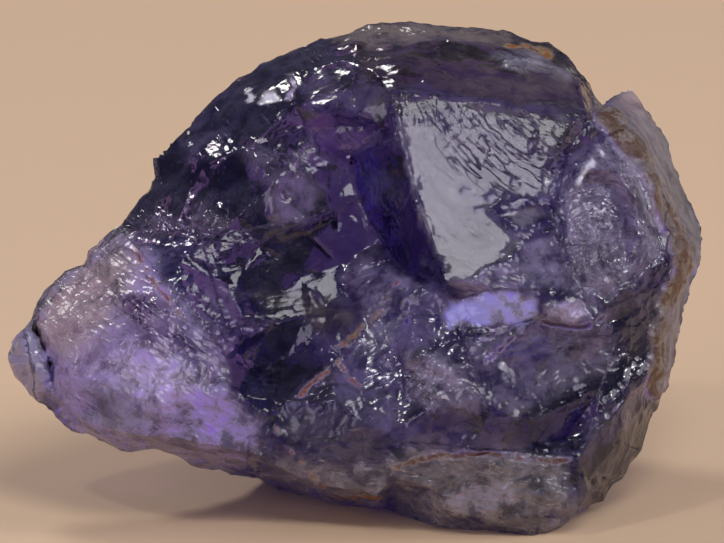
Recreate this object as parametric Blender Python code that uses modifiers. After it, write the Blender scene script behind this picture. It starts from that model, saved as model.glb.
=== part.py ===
"""A rough piece of iolite (violet cordierite) as broken from the rock: one clear crystal fragment.

Run it with blender --background --python part.py, or from Blender's text editor. Metres, +Z up.
The stone rests on its one flat fracture face, at Z = 0, and its broad broken side faces -Y.

The fracture edges are given as seen from the front, by someone who looks down on the stone by VIEW_TILT:
(across, up, toward) in millimetres, where toward is how far a point stands out to that person.
"""

import math

import bmesh
import bpy
from mathutils import Vector, geometry

MM = 0.001
VIEW_TILT = math.radians(15.0)
LEAN = 0.2
LEAN_HEIGHT = 11.0
SHARP_ANGLE = math.radians(16.0)
RESTING_FACE_HEIGHT = 0.7
CUTTER_SIZE = 40.0
SCAR_SUBDIVISIONS = 4

# Hollow shell-like scars in the back: centre in the front view, and radius.
SCARS = {
    "scar under the shelf": ((2.6, 11.6, -17.6), 9.4),
    "scar over the nose": ((-9.6, 13.4, -10.6), 8.0),
    "scar behind the nose": ((-11.6, 4.2, -10.4), 9.2),
    "scar at the right foot": ((14.4, 3.4, -12.6), 9.4),
    "low scar in the back": ((0.4, 3.2, -18.4), 8.6),
}

# The outline as seen from the front, clockwise from the tip of the nose.
OUTLINE_NOSE = [
    (-13.95, 6.7, 0.0),
    (-13.6, 7.6, -0.2),
    (-13.05, 8.3, -0.4),
    (-12.9, 8.9, -0.5),
    (-12.4, 9.5, -0.6),
    (-11.8, 10.15, -0.7),
    (-11.0, 10.35, -0.7),
    (-10.85, 10.95, -0.8),
    (-10.0, 11.7, -0.9),
]
OUTLINE_SHOULDER = [
    (-9.3, 12.2, -1.1),
    (-8.8, 13.0, -1.3),
    (-8.1, 13.9, -1.4),
    (-8.15, 14.65, -1.5),
    (-7.0, 15.8, -1.6),
    (-5.9, 17.0, -1.8),
    (-4.9, 17.95, -2.0),
    (-4.35, 18.1, -2.0),
    (-3.8, 18.55, -2.1),
    (-2.9, 19.0, -2.2),
    (-1.5, 19.45, -2.4),
]
OUTLINE_CAP = [
    (0.3, 20.05, -2.6),
    (1.8, 20.15, -2.7),
    (3.4, 20.0, -2.8),
    (4.6, 20.05, -2.9),
    (5.9, 19.75, -3.0),
    (6.9, 19.4, -3.1),
    (7.6, 19.35, -3.2),
    (8.3, 18.85, -3.3),
    (9.0, 17.95, -3.4),
    (9.65, 16.85, -3.4),
]
OUTLINE_FLANGE = [
    (10.3, 17.2, -5.2),
    (10.95, 17.5, -6.0),
    (11.6, 16.6, -6.0),
    (12.3, 15.4, -6.2),
    (12.9, 14.2, -6.3),
    (13.2, 12.9, -6.3),
    (13.9, 11.4, -6.2),
    (14.05, 10.0, -6.0),
    (13.9, 8.5, -6.0),
    (13.4, 7.1, -5.6),
    (12.7, 6.1, -4.6),
    (11.95, 5.0, -2.6),
]
OUTLINE_BASE = [
    (11.5, 4.0, -1.8),
    (11.2, 3.0, -1.6),
    (10.5, 2.0, -1.4),
    (10.0, 1.7, -1.4),
    (9.7, 1.0, -1.4),
    (9.2, 0.7, -1.4),
    (8.5, 0.45, -0.6),
    (8.0, -0.05, 0.6),
    (6.9, -0.4, 1.7),
    (5.0, -0.15, 0.9),
    (3.0, -0.05, 0.6),
    (1.0, 0.65, -1.9),
    (-1.0, 0.9, -2.8),
    (-2.8, 1.3, -4.1),
    (-4.0, 1.8, -3.3),
    (-5.0, 2.15, -1.9),
    (-6.5, 2.5, -0.7),
    (-8.0, 3.0, 0.2),
    (-9.5, 3.1, 0.5),
    (-10.6, 3.5, 0.4),
    (-11.5, 3.8, 0.4),
    (-12.0, 4.35, 0.3),
    (-13.0, 5.2, 0.2),
    (-13.7, 6.0, 0.1),
]

# Crests, steps and valley floors of the broken front, each a line of points.
FRONT_LINES = {
    "left edge of the silver facet": [
        (1.2, 17.3, 3.1),
        (1.6, 15.6, 3.6),
        (2.0, 14.0, 4.0),
        (2.5, 12.6, 4.4),
        (3.2, 10.6, 4.8),
        (3.4, 9.8, 4.9),
    ],
    "foot of the wall beside it": [
        (1.0, 15.9, 2.0),
        (-0.4, 14.8, 1.3),
        (0.0, 13.0, 1.3),
        (0.7, 11.4, 1.6),
        (1.8, 10.1, 2.6),
        (2.9, 9.6, 3.6),
        (3.4, 9.8, 4.9),
    ],
    "brow of the brown cap": [
        (1.2, 17.3, 3.1),
        (3.4, 17.0, 3.3),
        (5.5, 16.6, 3.4),
        (7.2, 16.35, 3.2),
        (9.1, 16.35, 2.0),
        (10.3, 16.0, 0.6),
    ],
    "foot of the silver facet": [
        (3.4, 9.8, 4.9),
        (4.3, 9.8, 4.9),
        (5.9, 10.9, 4.7),
        (6.2, 11.6, 4.5),
        (5.2, 12.7, 4.3),
    ],
    "step across the silver facet": [
        (4.2, 13.4, 4.0),
        (5.2, 12.7, 4.3),
        (6.4, 13.1, 3.9),
        (7.6, 12.9, 3.5),
    ],
    "groove to the right of the silver facet": [
        (9.1, 16.35, 2.0),
        (8.2, 14.8, 2.7),
        (7.6, 12.9, 3.5),
        (7.9, 11.2, 3.9),
        (8.3, 9.5, 4.0),
    ],
    "pane under the groove": [
        (6.2, 11.6, 4.5),
        (7.6, 12.1, 3.8),
        (7.6, 12.9, 3.5),
    ],
    "rim of the shell fracture": [
        (8.2, 14.8, 2.7),
        (9.6, 15.35, 2.1),
        (10.8, 14.7, 1.6),
        (11.5, 12.9, 1.5),
        (11.8, 11.0, 1.6),
        (11.2, 9.7, 2.2),
        (9.8, 9.1, 3.3),
        (8.3, 9.5, 4.0),
    ],
    "outer ring of the shell fracture": [
        (8.5, 13.4, 3.4),
        (9.2, 14.2, 3.0),
        (10.2, 14.15, 2.6),
        (10.9, 13.1, 2.3),
        (11.1, 11.6, 2.3),
        (10.6, 10.3, 2.8),
    ],
    "foot of the outer ring": [
        (8.5, 13.4, 3.4),
        (9.35, 13.7, 2.5),
        (10.1, 13.5, 2.2),
        (10.55, 12.6, 2.0),
        (10.65, 11.6, 2.0),
        (10.6, 10.3, 2.8),
    ],
    "dome of the shell fracture": [
        (9.1, 12.4, 3.3),
        (9.8, 11.8, 3.1),
        (9.6, 10.6, 3.5),
    ],
    "crusted right rim": [
        (9.65, 16.85, -3.4),
        (10.3, 16.0, 0.6),
        (11.1, 15.0, 0.5),
        (11.75, 13.7, 0.3),
        (12.35, 12.3, 0.2),
        (12.9, 10.9, 0.0),
        (12.6, 9.8, 0.3),
        (12.3, 8.9, 0.5),
        (11.9, 7.6, 0.7),
        (11.75, 6.2, 0.6),
        (11.95, 5.0, -2.6),
    ],
    "crest of the flange": [
        (10.95, 17.5, -6.0),
        (11.5, 15.9, -4.3),
        (12.4, 13.8, -4.2),
        (13.2, 11.6, -4.2),
        (13.2, 9.5, -4.0),
        (12.6, 7.4, -3.6),
    ],
    "plates of the brown cap": [
        (-1.5, 19.45, -2.4),
        (-0.3, 18.7, 0.4),
        (1.2, 18.7, 1.1),
        (2.6, 19.0, 0.7),
        (3.5, 18.2, 1.5),
        (4.3, 17.3, 2.7),
        (5.5, 16.6, 3.4),
    ],
    "lens of the brown cap": [
        (2.6, 19.0, 0.7),
        (4.4, 19.25, -0.3),
        (6.2, 18.95, -0.4),
        (7.6, 18.45, -0.3),
        (8.6, 17.7, -0.1),
        (9.1, 16.35, 2.0),
    ],
    "crevice behind the brown cap": [
        (-0.3, 18.7, 0.4),
        (0.6, 19.2, -1.2),
        (2.4, 19.5, -1.5),
        (4.3, 19.62, -1.9),
        (6.0, 19.3, -2.1),
        (7.2, 18.85, -2.1),
        (8.2, 18.2, -1.8),
        (8.6, 17.7, -0.1),
    ],
    "belly of the brown cap": [
        (4.3, 17.3, 2.7),
        (6.0, 17.8, 2.0),
        (7.6, 17.5, 1.5),
        (8.6, 17.7, -0.1),
    ],
    "plate above the violet band": [
        (1.2, 17.3, 3.1),
        (1.0, 16.0, 2.9),
        (-0.2, 16.35, 2.5),
        (-1.5, 16.5, 2.0),
        (-2.6, 16.9, 1.3),
        (-2.75, 18.0, 0.2),
        (-2.9, 19.0, -2.2),
    ],
    "floor of the violet band": [
        (1.0, 15.9, 2.0),
        (-0.9, 15.9, 1.5),
        (-2.2, 15.9, 1.2),
        (-2.6, 16.9, 1.3),
    ],
    "crest of the left shoulder": [
        (-2.6, 16.9, 1.3),
        (-4.5, 16.95, 0.2),
        (-5.9, 17.0, -1.8),
    ],
    "middle of the left shoulder": [
        (-4.5, 16.95, 0.2),
        (-4.5, 15.0, 1.4),
        (-3.3, 13.7, 2.4),
        (-2.4, 12.0, 2.3),
        (-0.9, 12.6, 1.5),
        (0.0, 13.0, 1.3),
    ],
    "slab of the left shoulder": [
        (-7.0, 15.8, -1.6),
        (-6.6, 14.3, 0.6),
        (-4.5, 15.0, 1.4),
    ],
    "lower slab of the left shoulder": [
        (-6.6, 14.3, 0.6),
        (-6.9, 13.0, 1.1),
        (-5.0, 12.2, 1.9),
        (-3.3, 13.7, 2.4),
    ],
    "ledge over the nose": [
        (-9.3, 12.2, -1.1),
        (-9.0, 11.5, 0.3),
        (-7.4, 11.8, 1.2),
        (-6.9, 13.0, 1.1),
    ],
    "upper nose": [
        (-11.0, 10.35, -0.7),
        (-9.8, 10.6, 0.9),
        (-9.0, 11.5, 0.3),
    ],
    "stained step on the nose": [
        (-9.0, 11.5, 0.3),
        (-8.6, 10.5, 1.5),
        (-8.0, 9.5, 2.3),
        (-7.2, 8.3, 3.0),
    ],
    "sliver beside the step": [
        (-7.4, 11.8, 1.2),
        (-7.2, 10.4, 2.2),
        (-6.7, 9.1, 2.9),
        (-6.0, 7.5, 3.2),
        (-5.4, 6.7, 2.9),
    ],
    "crest across the nose": [
        (-12.7, 8.0, 1.0),
        (-11.6, 6.3, 2.3),
        (-10.2, 6.9, 3.0),
        (-9.0, 8.0, 3.1),
        (-7.2, 8.3, 3.0),
        (-6.7, 9.1, 2.9),
    ],
    "bright notch on the nose": [
        (-9.5, 9.0, 2.3),
        (-9.0, 8.0, 3.1),
        (-8.0, 9.5, 2.3),
    ],
    "belly of the nose": [
        (-11.6, 6.3, 2.3),
        (-9.8, 5.4, 3.3),
        (-8.0, 5.0, 3.7),
        (-6.2, 5.3, 3.5),
        (-5.4, 6.7, 2.9),
    ],
    "keel of the nose": [
        (-12.0, 4.35, 0.3),
        (-10.9, 4.25, 2.0),
        (-9.3, 3.8, 2.9),
        (-7.6, 3.6, 3.1),
        (-5.6, 3.3, 3.0),
        (-3.9, 2.8, 2.5),
    ],
    "knob at the tip, beside the crack": [
        (-13.05, 8.3, -0.4),
        (-12.85, 7.9, 0.6),
        (-12.2, 6.5, 1.3),
        (-12.1, 5.3, 1.5),
        (-12.0, 4.35, 0.3),
    ],
    "floor of the crack beside the knob": [
        (-13.05, 8.3, -0.4),
        (-12.98, 7.85, -0.5),
        (-12.38, 6.55, 0.2),
        (-12.28, 5.8, 0.6),
        (-12.1, 5.3, 1.5),
    ],
    "far lip of the crack": [
        (-13.05, 8.3, -0.4),
        (-13.12, 7.75, 0.6),
        (-12.56, 6.6, 1.3),
        (-12.46, 5.9, 1.4),
        (-12.1, 5.3, 1.5),
    ],
    "knob at the tip": [
        (-13.4, 7.4, 0.8),
        (-13.1, 6.3, 1.4),
        (-12.7, 5.6, 1.2),
    ],
    "edge of the dark pit": [
        (-5.4, 6.7, 2.9),
        (-4.9, 7.2, 2.4),
        (-3.6, 8.0, 1.9),
        (-2.2, 8.3, 1.6),
        (-1.6, 7.4, 1.8),
        (-1.3, 6.4, 2.5),
        (-2.9, 5.0, 3.0),
        (-4.1, 4.3, 3.0),
        (-4.9, 5.3, 3.2),
        (-5.4, 6.7, 2.9),
    ],
    "floor of the dark pit": [
        (-4.4, 6.3, 1.7),
        (-2.9, 6.7, 1.4),
    ],
    "trough above the pit": [
        (-5.0, 9.6, 2.3),
        (-4.0, 9.8, 1.7),
        (-2.4, 9.9, 1.1),
        (-0.8, 10.4, 1.0),
        (0.7, 11.4, 1.6),
    ],
    "upper side of the trough": [
        (-5.0, 12.2, 1.9),
        (-4.0, 11.2, 1.8),
        (-2.4, 12.0, 2.3),
    ],
    "stained crack": [
        (0.7, 10.4, 1.7),
        (0.9, 8.5, 2.9),
        (0.0, 7.9, 2.6),
        (-0.6, 7.0, 2.6),
        (-1.3, 6.4, 2.5),
    ],
    "ledge beside the crack": [
        (-2.2, 8.3, 1.6),
        (-1.1, 8.6, 1.9),
        (0.0, 9.8, 1.6),
        (0.7, 10.4, 1.7),
        (0.7, 11.4, 1.6),
    ],
    "blue facet": [
        (0.9, 8.5, 2.9),
        (1.8, 8.3, 3.4),
        (2.0, 9.2, 3.4),
        (2.9, 9.6, 3.6),
    ],
    "knotted crystals": [
        (1.8, 8.3, 3.4),
        (3.4, 7.9, 3.9),
        (3.7, 9.0, 4.1),
        (4.3, 9.8, 4.9),
    ],
    "top of the knot": [
        (2.0, 6.2, 3.5),
        (2.6, 6.8, 4.1),
        (3.4, 7.9, 3.9),
    ],
    "knot": [
        (2.0, 6.2, 3.5),
        (2.2, 5.2, 3.8),
        (3.0, 4.9, 4.3),
        (3.4, 6.0, 4.5),
        (2.6, 6.8, 4.1),
    ],
    "pale ledge": [
        (3.7, 9.0, 4.1),
        (4.6, 7.9, 4.3),
        (5.0, 7.0, 4.5),
        (3.4, 6.0, 4.5),
    ],
    "top of the pale ledge": [
        (4.3, 9.8, 4.9),
        (5.2, 9.4, 4.8),
        (6.4, 9.3, 4.7),
        (7.0, 8.9, 4.4),
        (8.3, 9.5, 4.0),
    ],
    "step under the pale ledge": [
        (4.6, 7.9, 4.3),
        (6.0, 8.0, 4.2),
        (7.1, 8.2, 4.0),
        (7.0, 8.9, 4.4),
    ],
    "brow of the broad violet facet": [
        (5.0, 7.0, 4.5),
        (6.3, 7.8, 4.4),
        (7.1, 8.2, 4.0),
        (9.0, 8.0, 3.5),
        (9.8, 9.1, 3.3),
    ],
    "right end of the broad facet": [
        (9.0, 8.0, 3.5),
        (10.4, 7.0, 2.3),
        (10.9, 8.3, 1.9),
        (11.2, 9.7, 2.2),
    ],
    "dish of the broad facet": [
        (6.4, 6.0, 3.9),
        (8.0, 6.4, 3.4),
    ],
    "foot of the broad facet": [
        (3.0, 4.9, 4.3),
        (5.2, 4.5, 4.6),
        (6.8, 4.3, 4.2),
        (8.2, 4.9, 3.5),
        (9.5, 5.4, 2.8),
        (10.4, 7.0, 2.3),
    ],
    "dark hollow at lower right": [
        (6.8, 4.3, 4.2),
        (6.6, 3.2, 3.5),
        (8.2, 3.5, 2.6),
        (9.5, 5.4, 2.8),
    ],
    "pale ridge at lower right": [
        (11.75, 6.2, 0.6),
        (10.7, 5.2, 1.9),
        (9.4, 3.8, 2.9),
        (8.6, 2.6, 3.1),
        (8.4, 1.1, 2.7),
        (8.5, 0.45, -0.6),
    ],
    "brown facet at lower right": [
        (9.4, 3.8, 2.9),
        (10.2, 3.3, 1.5),
        (11.2, 3.0, -1.6),
    ],
    "small lump at lower right": [
        (8.6, 2.6, 3.1),
        (9.3, 2.2, 2.0),
        (10.0, 1.7, -1.4),
    ],
    "upper crest of the foot": [
        (1.0, 2.7, 3.4),
        (2.6, 3.0, 3.6),
        (4.2, 2.8, 3.7),
        (6.3, 2.3, 3.5),
        (8.6, 2.6, 3.1),
    ],
    "sill above the foot": [
        (4.2, 2.8, 3.7),
        (6.6, 3.2, 3.5),
    ],
    "lower crest of the foot": [
        (1.4, 2.1, 3.1),
        (3.0, 1.6, 2.9),
        (4.9, 1.85, 3.3),
        (6.4, 1.5, 3.2),
        (8.4, 1.1, 2.7),
    ],
    "lens of the foot": [
        (3.0, 1.6, 2.9),
        (3.9, 0.75, 2.4),
        (5.0, 0.35, 2.3),
        (6.3, 0.3, 2.6),
        (7.3, 0.4, 2.4),
        (8.4, 1.1, 2.7),
    ],
    "plate at lower middle": [
        (-2.9, 5.0, 3.0),
        (-0.6, 4.8, 3.6),
        (0.0, 4.0, 3.7),
        (1.0, 2.7, 3.4),
        (1.4, 2.1, 3.1),
    ],
    "right side of the plate": [
        (-1.3, 6.4, 2.5),
        (-0.6, 4.8, 3.6),
        (0.7, 5.6, 3.4),
        (2.0, 6.2, 3.5),
    ],
    "middle of the violet field": [
        (0.7, 5.6, 3.4),
        (1.0, 7.0, 3.2),
        (1.8, 8.3, 3.4),
    ],
    "foot of the violet field": [
        (2.2, 5.2, 3.8),
        (1.9, 3.8, 4.0),
        (2.6, 3.0, 3.6),
    ],
    "ledge under the plate": [
        (-4.1, 4.3, 3.0),
        (-3.9, 3.6, 2.7),
        (-2.8, 3.3, 2.9),
        (-1.9, 2.3, 2.5),
        (-1.2, 1.6, 2.0),
        (0.6, 1.35, 2.3),
        (1.4, 2.1, 3.1),
    ],
    "sliver under the plate": [
        (-3.9, 3.6, 2.7),
        (-3.9, 2.8, 2.5),
        (-2.6, 2.1, 2.0),
        (-1.2, 1.6, 2.0),
        (-1.0, 0.9, -2.8),
    ],
    "lower facet of the plate": [
        (-2.8, 3.3, 2.9),
        (-1.0, 3.0, 3.2),
        (0.3, 2.4, 2.9),
        (1.4, 2.1, 3.1),
    ],
}

# Crests of the broken back, seen through the stone from the front, so toward is negative.
BACK_LINES = {
    "spine of the nose": [
        (-13.95, 6.7, 0.0),
        (-12.2, 7.1, -1.9),
        (-10.2, 7.5, -3.0),
        (-8.0, 8.2, -4.6),
        (-5.6, 9.6, -6.0),
    ],
    "brow of the nose, behind": [
        (-11.8, 10.15, -0.7),
        (-10.8, 9.0, -2.3),
        (-10.2, 7.5, -3.0),
    ],
    "keel of the nose, behind": [
        (-11.5, 3.8, 0.4),
        (-10.6, 5.4, -2.2),
        (-10.2, 7.5, -3.0),
    ],
    "upper back of the nose": [
        (-8.8, 13.0, -1.3),
        (-7.6, 12.2, -3.4),
        (-6.9, 10.6, -4.2),
        (-8.0, 8.2, -4.6),
    ],
    "notch over the nose": [
        (-7.6, 12.2, -3.4),
        (-5.8, 11.6, -5.2),
        (-5.6, 9.6, -6.0),
    ],
    "lower back of the nose": [
        (-9.5, 3.1, 0.5),
        (-8.2, 4.7, -2.6),
        (-7.0, 6.4, -3.9),
        (-8.0, 8.2, -4.6),
    ],
    "step behind the nose": [
        (-7.0, 6.4, -3.9),
        (-5.4, 6.6, -5.9),
        (-5.6, 9.6, -6.0),
    ],
    "belly beside the resting face": [
        (-8.2, 4.7, -2.6),
        (-5.6, 4.2, -4.6),
        (-5.4, 6.6, -5.9),
        (-3.9, 5.6, -8.2),
        (-3.0, 2.7, -9.6),
    ],
    "spine of the back": [
        (-5.6, 9.6, -6.0),
        (-2.6, 10.6, -8.2),
        (1.0, 10.0, -9.4),
        (4.8, 9.3, -9.9),
        (8.4, 9.4, -9.6),
        (11.0, 9.9, -8.6),
        (12.9, 10.3, -7.4),
        (14.05, 10.0, -6.0),
    ],
    "upper left back": [
        (-5.9, 17.0, -1.8),
        (-4.2, 14.6, -4.6),
        (-3.5, 12.9, -7.0),
        (-2.6, 10.6, -8.2),
    ],
    "left shoulder, behind": [
        (-8.15, 14.65, -1.5),
        (-6.3, 14.0, -3.6),
        (-4.2, 14.6, -4.6),
    ],
    "shelf along the upper back": [
        (-4.2, 14.6, -4.6),
        (-1.8, 16.6, -5.1),
        (0.8, 17.6, -5.2),
        (3.4, 17.5, -6.3),
        (6.2, 16.6, -6.2),
        (9.4, 15.6, -6.7),
        (10.95, 17.5, -6.0),
    ],
    "brow over the shelf": [
        (-1.8, 16.6, -5.1),
        (-0.8, 18.6, -3.6),
        (-1.5, 19.45, -2.4),
    ],
    "rib over the shelf": [
        (3.4, 17.5, -6.3),
        (3.9, 19.0, -4.4),
        (3.4, 20.0, -2.8),
    ],
    "rib beside the cap": [
        (6.2, 16.6, -6.2),
        (7.4, 18.0, -4.9),
        (8.3, 18.85, -3.3),
    ],
    "ledge under the shelf": [
        (-3.5, 12.9, -7.0),
        (-1.0, 14.4, -6.9),
        (1.6, 14.9, -7.6),
        (4.0, 14.3, -9.0),
        (6.6, 13.7, -8.9),
        (9.0, 13.9, -8.3),
        (10.8, 13.2, -7.9),
    ],
    "hollow under the shelf": [
        (0.8, 17.6, -5.2),
        (1.4, 16.0, -5.7),
        (1.6, 14.9, -7.6),
    ],
    "hollow at the right of the shelf": [
        (6.2, 16.6, -6.2),
        (6.9, 15.1, -6.8),
        (6.6, 13.7, -8.9),
    ],
    "great shell fracture, left edge": [
        (-1.0, 14.4, -6.9),
        (-0.2, 12.4, -7.7),
        (1.0, 10.0, -9.4),
    ],
    "great shell fracture, floor": [
        (4.0, 14.3, -9.0),
        (3.6, 12.3, -8.9),
        (4.3, 10.8, -9.1),
        (4.8, 9.3, -9.9),
    ],
    "great shell fracture, right edge": [
        (6.6, 13.7, -8.9),
        (7.2, 11.6, -9.7),
        (8.4, 9.4, -9.6),
    ],
    "back of the flange": [
        (12.3, 15.4, -6.2),
        (11.9, 13.8, -7.2),
        (10.8, 13.2, -7.9),
        (11.6, 11.6, -8.0),
        (11.0, 9.9, -8.6),
        (10.9, 7.2, -7.6),
        (12.7, 6.1, -4.6),
    ],
    "step across the back": [
        (-2.7, 8.8, -8.9),
        (0.2, 8.1, -10.0),
        (3.0, 7.5, -10.3),
        (5.8, 8.0, -10.2),
        (8.2, 7.8, -9.8),
        (9.9, 8.3, -8.9),
    ],
    "foot of the step across the back": [
        (-2.7, 8.8, -8.9),
        (-2.4, 7.5, -8.3),
        (0.5, 7.0, -9.0),
        (3.1, 6.5, -9.3),
        (5.7, 7.1, -9.2),
        (8.1, 6.9, -9.0),
        (9.9, 8.3, -8.9),
    ],
    "lower left back": [
        (-2.4, 7.5, -8.3),
        (-1.9, 5.4, -9.7),
        (-3.0, 2.7, -9.6),
        (-4.0, 1.8, -3.3),
    ],
    "lower back": [
        (3.1, 6.5, -9.3),
        (2.2, 4.9, -10.2),
        (2.6, 2.6, -9.8),
    ],
    "shell fracture at the foot": [
        (-1.9, 5.4, -9.7),
        (0.2, 5.6, -9.4),
        (2.2, 4.9, -10.2),
        (4.6, 5.2, -9.5),
        (6.4, 4.9, -9.8),
    ],
    "lower right back": [
        (8.1, 6.9, -9.0),
        (6.4, 4.9, -9.8),
        (7.4, 2.4, -8.9),
        (8.8, 1.9, -5.4),
        (9.7, 1.0, -1.4),
    ],
    "right foot of the back": [
        (10.9, 7.2, -7.6),
        (9.2, 5.2, -8.2),
        (10.0, 3.6, -5.6),
        (11.2, 3.0, -1.6),
    ],
    "chip at the right foot": [
        (8.1, 6.9, -9.0),
        (9.2, 5.2, -8.2),
        (7.4, 2.4, -8.9),
    ],
    "rear edge of the resting face": [
        (-3.0, 2.7, -9.6),
        (2.6, 2.6, -9.8),
        (7.4, 2.4, -8.9),
    ],
}


def place(across, up, toward):
    """A point of the front view, in millimetres, as a point of the stone's own frame, in metres.

    The stone's lower part stands out further to the front than its upper part, by LEAN.
    """
    toward += LEAN * (LEAN_HEIGHT - up)
    tilt_sin = math.sin(VIEW_TILT)
    tilt_cos = math.cos(VIEW_TILT)
    return Vector((across, up * tilt_sin - toward * tilt_cos, up * tilt_cos + toward * tilt_sin)) * MM


def relief(outline, lines, back):
    """Triangles between the outline and the lines inside it, as (corner points, triples of indices)."""
    numbers = {}
    edges = set()
    for line in [outline + outline[:1], *lines.values()]:
        ends = [numbers.setdefault(point, len(numbers)) for point in line]
        edges |= {(a, b) for a, b in zip(ends, ends[1:]) if (b, a) not in edges}
    points = list(numbers)
    flat = [Vector(point[:2]) for point in points]
    made, _, faces, sources, _, _ = geometry.delaunay_2d_cdt(flat, sorted(edges), [], 1, 1e-5)
    if len(made) != len(points):
        raise ValueError(f"two lines cross, near {[tuple(made[i]) for i, s in enumerate(sources) if not s]}")
    order = [source[0] for source in sources]
    triples = [[order[i] for i in face] for face in faces]
    if back:
        triples = [triple[::-1] for triple in triples]
    return points, triples


def cage():
    """The stone's facets as one closed coarse mesh, front and back meeting along the outline."""
    outline = OUTLINE_NOSE + OUTLINE_SHOULDER + OUTLINE_CAP + OUTLINE_FLANGE + OUTLINE_BASE
    shape = bmesh.new()
    corners = {}
    for lines, back in ((FRONT_LINES, False), (BACK_LINES, True)):
        points, triples = relief(outline, lines, back)
        for point in points:
            if point not in corners:
                corners[point] = shape.verts.new(place(*point))
        for triple in triples:
            shape.faces.new([corners[points[i]] for i in triple])
    bmesh.ops.recalc_face_normals(shape, faces=shape.faces)
    return shape


def crease_ridges(shape):
    """Keeps the edges between unlike facets sharp when the cage is subdivided."""
    creases = shape.edges.layers.float.new("crease_edge")
    for edge in shape.edges:
        edge[creases] = 1.0 if edge.calc_face_angle(0.0) > SHARP_ANGLE else 0.0


def link(name, mesh, collection):
    """A new object of this mesh in the collection."""
    thing = bpy.data.objects.new(name, mesh)
    collection.objects.link(thing)
    return thing


def add_cutter(name, shape, crystal, cutters):
    """A shape that is cut out of the crystal and moves with it."""
    mesh = bpy.data.meshes.new(name)
    shape.to_mesh(mesh)
    shape.free()
    cutter = link(name, mesh, cutters)
    cutter.parent = crystal
    cutter.hide_render = True
    cutter.display_type = "WIRE"
    cut = crystal.modifiers.new(name, "BOOLEAN")
    cut.operation = "DIFFERENCE"
    cut.object = cutter


def cut_resting_face(crystal, cutters):
    """Breaks the stone off flat where it rests."""
    shape = bmesh.new()
    bmesh.ops.create_cube(shape, size=CUTTER_SIZE * MM)
    lowered = (RESTING_FACE_HEIGHT - CUTTER_SIZE / 2.0) * MM
    bmesh.ops.translate(shape, verts=shape.verts, vec=(0.0, 0.0, lowered))
    add_cutter("resting_face_cut", shape, crystal, cutters)


def cut_scars(crystal, cutters):
    """Scoops the shell-like scars out of the back."""
    for name, (centre, radius) in SCARS.items():
        shape = bmesh.new()
        bmesh.ops.create_icosphere(shape, subdivisions=SCAR_SUBDIVISIONS, radius=radius * MM)
        bmesh.ops.translate(shape, verts=shape.verts, vec=place(*centre))
        add_cutter(name, shape, crystal, cutters)


def iolite():
    """Clear violet-blue cordierite with a glassy fracture."""
    material = bpy.data.materials.new("iolite")
    material.use_nodes = True
    shader = material.node_tree.nodes["Principled BSDF"]
    shader.inputs["Base Color"].default_value = (0.135, 0.105, 0.36, 1.0)
    shader.inputs["Roughness"].default_value = 0.12
    shader.inputs["Metallic"].default_value = 0.0
    shader.inputs["IOR"].default_value = 1.54
    return material


def stand_on_origin(crystal):
    """Puts the origin under the middle of the stone, on the face that it rests on."""
    bpy.context.view_layer.update()
    solid = crystal.evaluated_get(bpy.context.evaluated_depsgraph_get())
    corners = [Vector(corner) for corner in solid.bound_box]
    low = Vector([min(corner[axis] for corner in corners) for axis in range(3)])
    high = Vector([max(corner[axis] for corner in corners) for axis in range(3)])
    crystal.location = (-(low.x + high.x) / 2.0, -(low.y + high.y) / 2.0, -low.z)


def main():
    for old in list(bpy.data.objects):
        bpy.data.objects.remove(old)
    parts = bpy.data.collections.new("iolite crystal")
    cutters = bpy.data.collections.new("cutters")
    for collection in (parts, cutters):
        bpy.context.scene.collection.children.link(collection)

    shape = cage()
    crease_ridges(shape)
    mesh = bpy.data.meshes.new("iolite_crystal")
    shape.to_mesh(mesh)
    shape.free()
    crystal = link("iolite_crystal", mesh, parts)
    mesh.materials.append(iolite())

    curve = crystal.modifiers.new("conchoidal_curvature", "SUBSURF")
    curve.levels = 1
    curve.render_levels = curve.levels
    cut_scars(crystal, cutters)
    cut_resting_face(crystal, cutters)
    stand_on_origin(crystal)


main()
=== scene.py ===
"""The looks of a rough piece of iolite: its broken glassy surface, violet body, stains, light and view.

The stone's features are placed in millimetres in its front view: across to the right, up the picture, and
toward the viewer, who looks down on it by VIEW_TILT. front_view and row_frame turn one frame into the other.
"""

import itertools
import math

import bmesh
import bpy
import numpy as np
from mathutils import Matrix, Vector


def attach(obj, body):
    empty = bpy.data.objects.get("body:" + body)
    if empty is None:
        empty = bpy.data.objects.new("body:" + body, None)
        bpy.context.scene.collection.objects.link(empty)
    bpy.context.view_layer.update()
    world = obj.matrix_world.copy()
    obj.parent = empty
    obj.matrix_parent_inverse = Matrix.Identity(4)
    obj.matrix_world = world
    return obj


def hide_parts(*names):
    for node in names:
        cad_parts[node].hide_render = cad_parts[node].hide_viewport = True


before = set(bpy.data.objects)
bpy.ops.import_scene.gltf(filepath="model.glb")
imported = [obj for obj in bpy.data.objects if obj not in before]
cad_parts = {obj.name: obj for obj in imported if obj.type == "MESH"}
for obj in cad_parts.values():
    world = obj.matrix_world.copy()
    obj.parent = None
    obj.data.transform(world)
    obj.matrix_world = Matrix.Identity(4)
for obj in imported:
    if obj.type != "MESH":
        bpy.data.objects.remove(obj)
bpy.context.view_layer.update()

# The view. Lengths here and below are in millimetres of the real stone, apart from the camera's sensor.
MM = 0.001
VIEW_TILT = math.radians(15.0)
FRONT_ZERO = np.array((0.033, -4.096, -0.7))
VIEW_CENTRE = (0.08, 10.14, 0.0)
VIEW_WIDTH = 28.96
CAMERA_DISTANCE = 600.0
SENSOR_WIDTH = 36.0

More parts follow.
